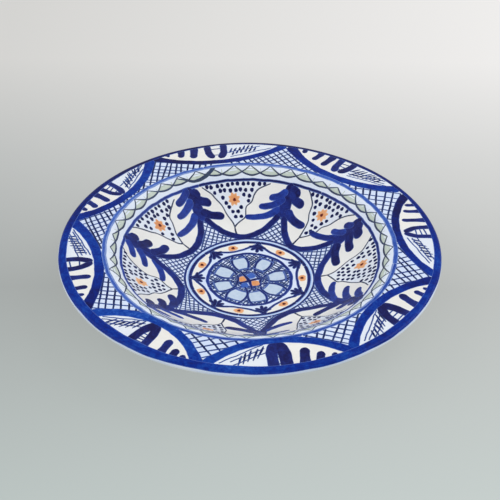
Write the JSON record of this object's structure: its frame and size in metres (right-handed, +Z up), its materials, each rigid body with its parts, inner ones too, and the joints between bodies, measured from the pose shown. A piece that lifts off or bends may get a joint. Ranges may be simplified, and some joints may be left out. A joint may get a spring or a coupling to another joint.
{
  "type": "plate",
  "caption": "Round deep ceramic plate with a flat rim and foot ring, glazed white and hand painted in cobalt blue with arcs, lattice, leaves, dots and small orange florets.",
  "frame": {"origin": "on the table under the centre of the plate, in the plane of the foot ring's standing face", "axes": "+Z up, along the plate's axis of rotation; +Y points to the side of the painting that is furthest away when the plate is seen from the front"},
  "size_m": [0.3606, 0.3606, 0.0523],
  "materials": {
    "bare_clay": "unglazed fired clay, matt, light buff",
    "white_glaze": "glossy tin glaze, creamy white with a faint blue bloom near the cobalt",
    "cobalt": "glossy cobalt brushwork, streaked from royal blue to navy",
    "navy": "glossy loaded brush strokes, deep navy cobalt",
    "fine_line": "glossy fine brush lines, grey-blue to navy",
    "light_cobalt": "glossy thin cobalt lines and washes, mid blue",
    "grey_green_wash": "glossy thin grey-green wash",
    "pale_blue_wash": "glossy thin pale grey-blue wash",
    "orange": "glossy soft orange spots",
    "dark_red": "glossy dark red-brown drops"
  },
  "bodies": {
    "root": {"clay_body": "bare_clay", "front_glaze": "white_glaze", "back_glaze": "white_glaze", "foot_well_glaze": "white_glaze", "lip_band": "cobalt", "rim_arcs": "cobalt", "rim_comb_teeth": "navy", "rim_leaf_loops": "navy", "rim_leaf_ticks": "fine_line", "rim_hatch_lines": "fine_line", "rim_lattice": "fine_line", "well_edge_line": "light_cobalt", "chain_wash": "grey_green_wash", "chain_scallops": "fine_line", "cavetto_line": "light_cobalt", "petal_arcs": "cobalt", "leaf_sprays": "navy", "petal_outlines": "fine_line", "petal_dots": "navy", "petal_florets": "orange", "floret_hearts": "dark_red", "star_lattice": "fine_line", "medallion_rings": "cobalt", "almond_outlines": "cobalt", "almond_blushes": "orange", "almond_hearts": "dark_red", "palmettes": "navy", "rosette_rings": "cobalt", "rosette_lattice": "fine_line", "rosette_cells": "pale_blue_wash", "centre_diamonds_orange": "orange", "centre_diamonds_blue": "light_cobalt"}
  },
  "joints": []
}
